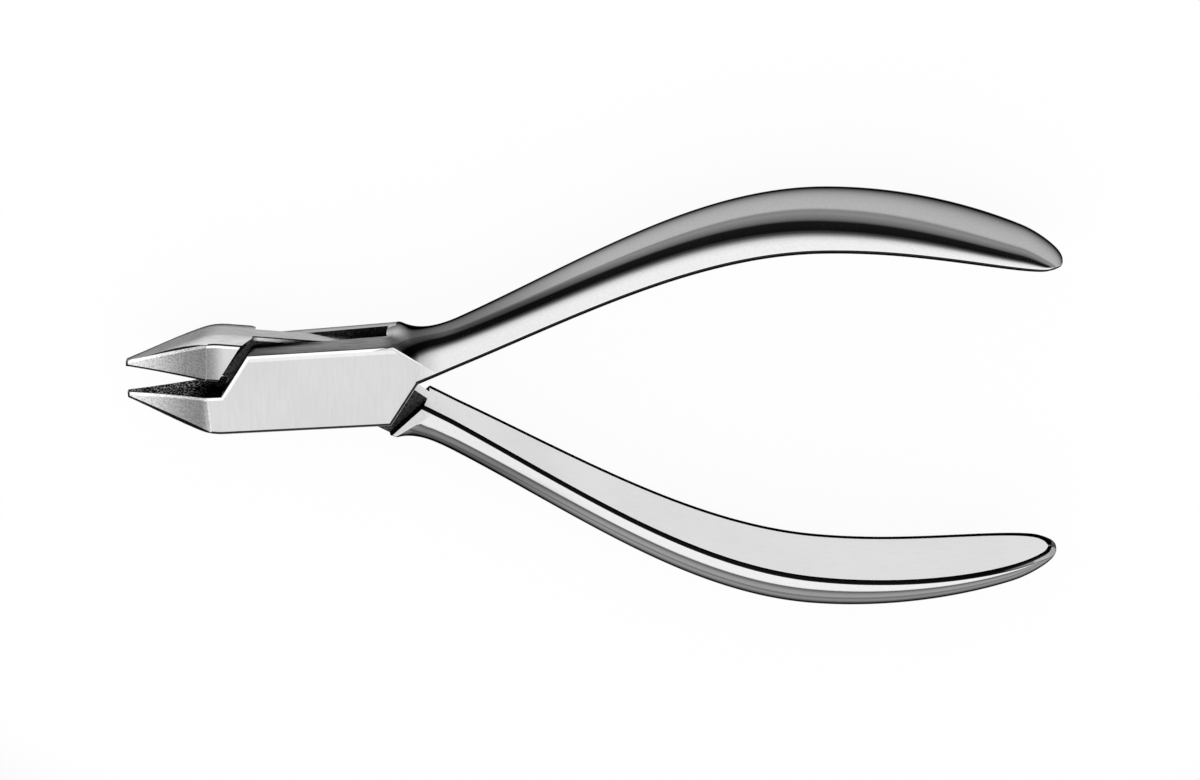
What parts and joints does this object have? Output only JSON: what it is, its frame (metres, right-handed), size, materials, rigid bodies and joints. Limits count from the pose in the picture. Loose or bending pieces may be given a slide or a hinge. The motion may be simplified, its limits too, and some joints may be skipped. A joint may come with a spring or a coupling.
{
  "type": "orthodontic pliers",
  "caption": "Slim steel orthodontic pliers with a box joint, two tapered flat-tipped jaws and curved half-round handles.",
  "frame": {"origin": "on the pivot's axis, at the joint's front face", "axes": "-X out along the jaws, +X along the handles, +Z along the pivot, out of the joint's front face; the pliers lie flat"},
  "size_m": [0.1254, 0.0591, 0.0148],
  "materials": {
    "limb_steel": "polished round backs, satin flat faces",
    "pin_steel": "ground flush"
  },
  "bodies": {
    "box_body": {"box_limb": "limb_steel", "pivot_pin": "pin_steel"},
    "tongue_body": {"tongue_limb": "limb_steel"}
  },
  "joints": [
    {"name": "jaw_hinge", "type": "hinge", "parent": "box_body", "child": "tongue_body", "pos_m": [0, 0, -0.0039], "axis": [0, 0, -1], "range_deg": [-7.8, 30]}
  ]
}
